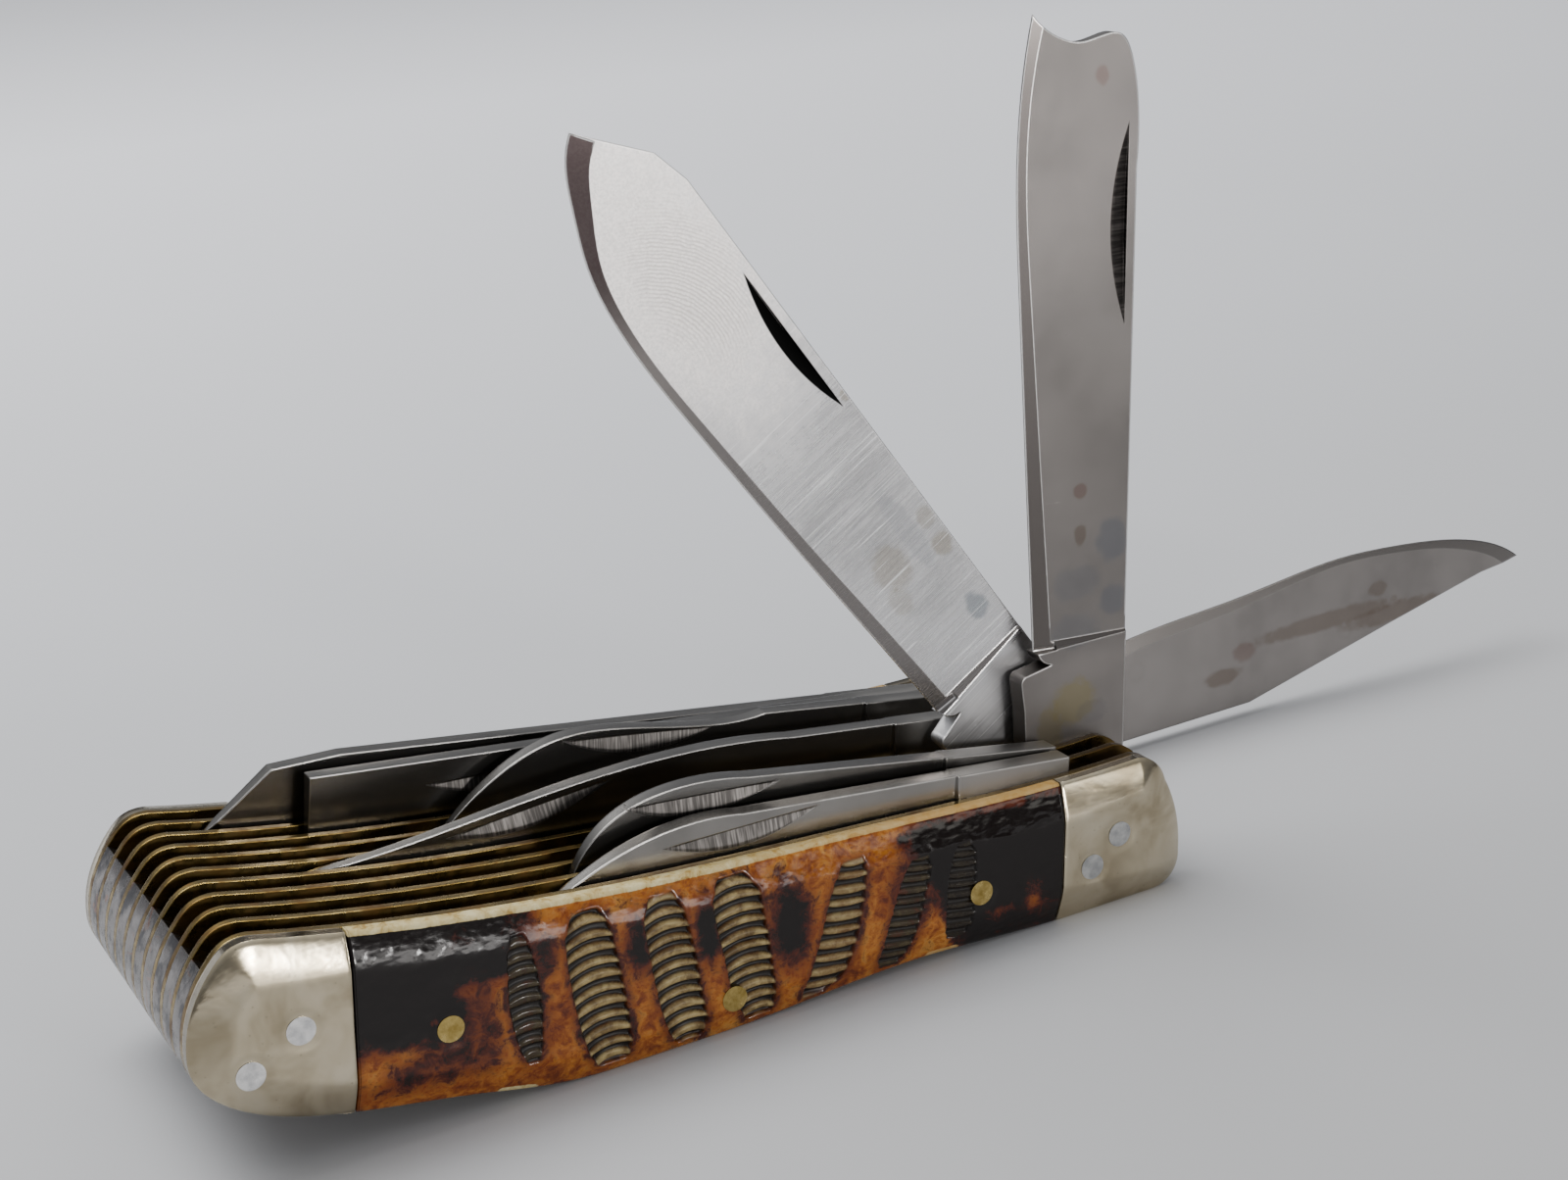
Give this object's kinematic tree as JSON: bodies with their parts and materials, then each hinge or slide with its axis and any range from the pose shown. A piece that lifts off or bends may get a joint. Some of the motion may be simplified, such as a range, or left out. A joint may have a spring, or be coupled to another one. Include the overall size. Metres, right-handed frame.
{
  "type": "whittling_pocket_knife",
  "caption": "Slip-joint whittling pocket knife with a stack of folding carving blades, brass liners, bolsters and jigged bone scales",
  "frame": {"origin": "middle of the short flat on the back of the handle, half way through its thickness", "axes": "+X along the handle from the butt to the pivot end, +Z out of the blade slots, -Y the side with the nail nicks"},
  "size_m": [0.1836, 0.0372, 0.0901],
  "materials": {
    "blade_steel": "satin ground steel with a polished cutting bevel",
    "spring_steel": "polished spring steel",
    "liner_brass": "smooth rolled brass",
    "bolster_nickel_silver": "polished nickel silver",
    "pin_steel": "ground flush and polished",
    "pin_brass": "ground flush and polished",
    "jigged_bone": "dyed and jigged bone, buffed glossy"
  },
  "bodies": {
    "handle": {"liner_01": "liner_brass", "liner_02": "liner_brass", "liner_03": "liner_brass", "liner_04": "liner_brass", "liner_05": "liner_brass", "liner_06": "liner_brass", "liner_07": "liner_brass", "liner_08": "liner_brass", "liner_09": "liner_brass", "liner_10": "liner_brass", "liner_11": "liner_brass", "backspring_01": "spring_steel", "backspring_02": "spring_steel", "backspring_03": "spring_steel", "backspring_04": "spring_steel", "backspring_05": "spring_steel", "backspring_06": "spring_steel", "backspring_07": "spring_steel", "backspring_08": "spring_steel", "backspring_09": "spring_steel", "backspring_10": "spring_steel", "butt_bolster_front": "bolster_nickel_silver", "scale_front": "jigged_bone", "pivot_bolster_front": "bolster_nickel_silver", "butt_rivet_front": "pin_steel", "pivot_rivet_front": "pin_steel", "scale_pin_butt_front": "pin_brass", "scale_pin_pivot_front": "pin_brass", "butt_bolster_rear": "bolster_nickel_silver", "scale_rear": "jigged_bone", "pivot_bolster_rear": "bolster_nickel_silver", "butt_rivet_rear": "pin_steel", "pivot_rivet_rear": "pin_steel", "scale_pin_butt_rear": "pin_brass", "scale_pin_pivot_rear": "pin_brass", "pivot_pin": "pin_steel", "butt_pin": "pin_steel", "centre_pin": "pin_brass"},
    "clip_point_blade": {"blade_clip_point": "blade_steel"},
    "sheepsfoot_blade": {"blade_sheepsfoot": "blade_steel"},
    "square_chisel_blade": {"blade_square_chisel": "blade_steel"},
    "drop_point_blade": {"blade_drop_point": "blade_steel"},
    "detail_pen_blade": {"blade_detail_pen": "blade_steel"},
    "long_point_blade": {"blade_long_point": "blade_steel"},
    "spey_blade": {"blade_spey": "blade_steel"},
    "fishtail_blade": {"blade_fishtail": "blade_steel"},
    "curved_sheepsfoot_blade": {"blade_curved_sheepsfoot": "blade_steel"},
    "pen_blade": {"blade_pen": "blade_steel"}
  },
  "joints": [
    {"name": "clip_point_pivot", "type": "hinge", "parent": "handle", "child": "clip_point_blade", "pos_m": [0.0526, 0.01413, 0.0082], "axis": [0, 1, 0], "range_deg": [-171.4, 0]},
    {"name": "sheepsfoot_pivot", "type": "hinge", "parent": "handle", "child": "sheepsfoot_blade", "pos_m": [0.0526, 0.01099, 0.0082], "axis": [0, 1, 0], "range_deg": [0, 170.9]},
    {"name": "square_chisel_pivot", "type": "hinge", "parent": "handle", "child": "square_chisel_blade", "pos_m": [0.0526, 0.00785, 0.0082], "axis": [0, 1, 0], "range_deg": [0, 172.6]},
    {"name": "drop_point_pivot", "type": "hinge", "parent": "handle", "child": "drop_point_blade", "pos_m": [0.0526, 0.00471, 0.0082], "axis": [0, 1, 0], "range_deg": [0, 170.3]},
    {"name": "detail_pen_pivot", "type": "hinge", "parent": "handle", "child": "detail_pen_blade", "pos_m": [0.0526, 0.00157, 0.0082], "axis": [0, 1, 0], "range_deg": [0, 173.4]},
    {"name": "long_point_pivot", "type": "hinge", "parent": "handle", "child": "long_point_blade", "pos_m": [0.0526, -0.00157, 0.0082], "axis": [0, 1, 0], "range_deg": [0, 171.6]},
    {"name": "spey_pivot", "type": "hinge", "parent": "handle", "child": "spey_blade", "pos_m": [0.0526, -0.00471, 0.0082], "axis": [0, 1, 0], "range_deg": [-48.6, 122.8]},
    {"name": "fishtail_pivot", "type": "hinge", "parent": "handle", "child": "fishtail_blade", "pos_m": [0.0526, -0.00785, 0.0082], "axis": [0, 1, 0], "range_deg": [-85.5, 85.9]},
    {"name": "curved_sheepsfoot_pivot", "type": "hinge", "parent": "handle", "child": "curved_sheepsfoot_blade", "pos_m": [0.0526, -0.01099, 0.0082], "axis": [0, 1, 0], "range_deg": [0, 169.4]},
    {"name": "pen_pivot", "type": "hinge", "parent": "handle", "child": "pen_blade", "pos_m": [0.0526, -0.01413, 0.0082], "axis": [0, 1, 0], "range_deg": [0, 173.1]}
  ]
}
